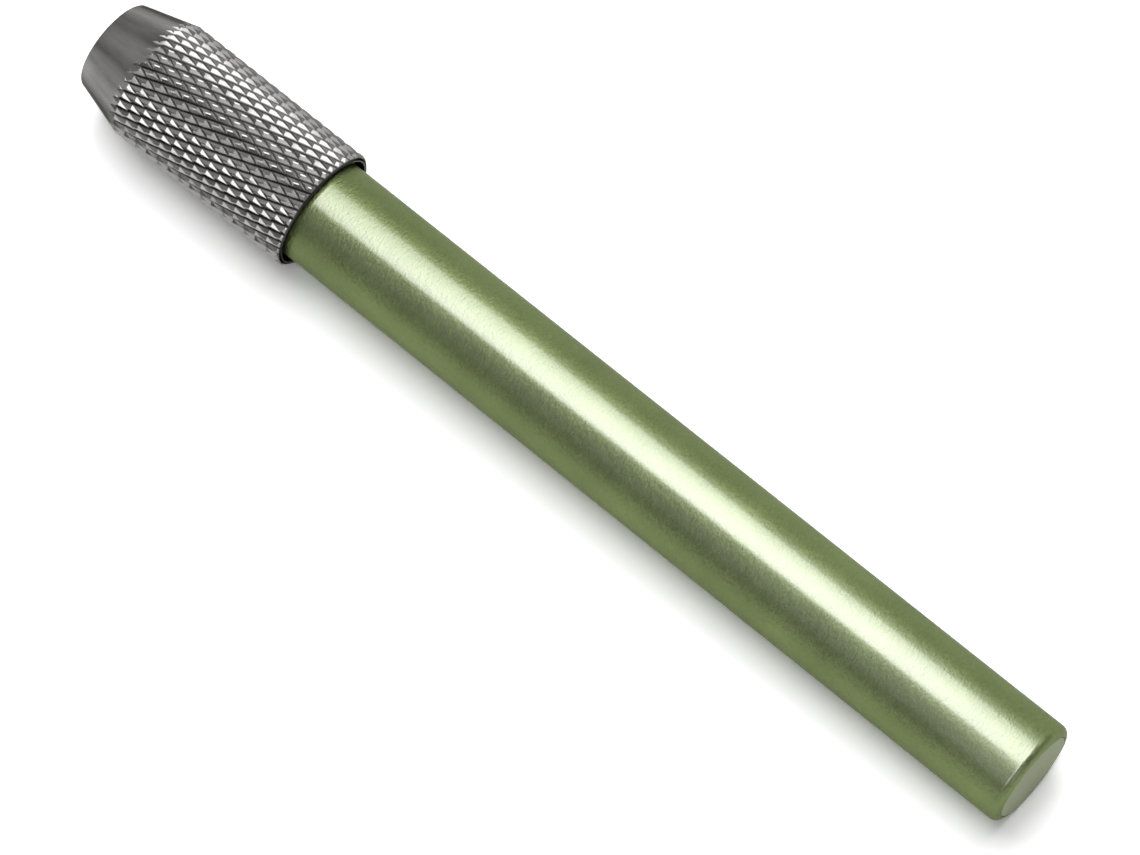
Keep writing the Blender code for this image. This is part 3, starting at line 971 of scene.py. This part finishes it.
def studio_surround(context):
    """White tent round the object: dark overhead, brighter low down and most so at the far side."""
    world = bpy.data.worlds.new("studio_surround")
    world.use_nodes = True
    tree = world.node_tree
    tree.nodes.clear()
    place = node(tree, "ShaderNodeTexCoord").outputs["Generated"]
    axes = node(tree, "ShaderNodeSeparateXYZ", {0: place}).outputs
    lowness = node(tree, "ShaderNodeMapRange", {
        "Value": axes["Z"], "From Min": 1.0, "From Max": 0.0})
    glow = node(tree, "ShaderNodeMath", {0: lowness.outputs[0], 1: TENT_FALLOFF}, operation="POWER")
    wall = node(tree, "ShaderNodeMath", {
        0: axes["Y"], 1: TENT_FAR_SIDE, 2: TENT_HORIZON}, operation="MULTIPLY_ADD")
    level = node(tree, "ShaderNodeMapRange", {
        "Value": glow.outputs[0], "To Min": TENT_ZENITH, "To Max": wall.outputs[0]})
    tent = node(tree, "ShaderNodeBackground", {
        "Color": (1.0, 1.0, 1.0, 1.0), "Strength": level.outputs[0]})
    node(tree, "ShaderNodeOutputWorld", {"Surface": tent.outputs[0]})
    context.scene.world = world


def camera(context):
    """Long lens at the place that the picture's perspective gives."""
    back = (
        math.sin(CAMERA_AZIMUTH) * math.cos(CAMERA_ELEVATION),
        -math.cos(CAMERA_AZIMUTH) * math.cos(CAMERA_ELEVATION),
        math.sin(CAMERA_ELEVATION),
    )
    right = (math.cos(CAMERA_AZIMUTH), math.sin(CAMERA_AZIMUTH), 0.0)
    up = (
        -math.sin(CAMERA_AZIMUTH) * math.sin(CAMERA_ELEVATION),
        math.cos(CAMERA_AZIMUTH) * math.sin(CAMERA_ELEVATION),
        math.cos(CAMERA_ELEVATION),
    )
    target = (CAMERA_TARGET_X, 0.0, AXIS_HEIGHT)
    location = [
        t + b * CAMERA_DISTANCE + r * CAMERA_RIGHT + u * CAMERA_UP
        for t, b, r, u in zip(target, back, right, up)
    ]
    clear_selection()
    bpy.ops.object.camera_add(
        location=location, rotation=(math.pi / 2 - CAMERA_ELEVATION, 0.0, CAMERA_AZIMUTH))
    view = context.active_object
    view.name = "studio_camera"
    view.data.lens = CAMERA_LENS
    view.data.sensor_width = CAMERA_SENSOR
    view.data.clip_start = CAMERA_NEAR
    context.scene.camera = view


class EXTENDER_OT_stage(bpy.types.Operator):
    """Set the floor, the lamps, the surround and the camera"""

    bl_idname = "extender.stage"
    bl_label = "Stage"

    def execute(self, context):
        floor_sheet(context)
        studio_lamps()
        studio_surround(context)
        camera(context)
        context.scene.view_settings.view_transform = "Standard"
        return {"FINISHED"}


class EXTENDER_PT_panel(bpy.types.Panel):
    """Buttons for the extender's pieces, with their sizes and colours"""

    bl_label = "Pencil Extender"
    bl_idname = "EXTENDER_PT_panel"
    bl_space_type = "VIEW_3D"
    bl_region_type = "UI"
    bl_category = "Extender"

    def draw(self, context):
        for step in STEPS:
            self.layout.operator(step.bl_idname)
        for group in (context.scene.extender_sizes, context.scene.extender_finishes):
            box = self.layout.box()
            for name in group.__annotations__:
                box.prop(group, name)


STEPS = (
    EXTENDER_OT_barrel, EXTENDER_OT_plug, EXTENDER_OT_nut, EXTENDER_OT_bush, EXTENDER_OT_collet,
    EXTENDER_OT_stage)
CLASSES = (ExtenderSizes, ExtenderFinishes, *STEPS, EXTENDER_PT_panel)


def register():
    for cls in CLASSES:
        bpy.utils.register_class(cls)
    bpy.types.Scene.extender_sizes = bpy.props.PointerProperty(type=ExtenderSizes)
    bpy.types.Scene.extender_finishes = bpy.props.PointerProperty(type=ExtenderFinishes)


def unregister():
    del bpy.types.Scene.extender_finishes
    del bpy.types.Scene.extender_sizes
    for cls in reversed(CLASSES):
        bpy.utils.unregister_class(cls)


def main():
    """Model every piece and set the stage."""
    register()
    bpy.ops.extender.barrel()
    bpy.ops.extender.plug()
    bpy.ops.extender.nut()
    bpy.ops.extender.bush()
    bpy.ops.extender.collet()
    bpy.ops.extender.stage()
    clear_selection()


if __name__ == "__main__":
    main()
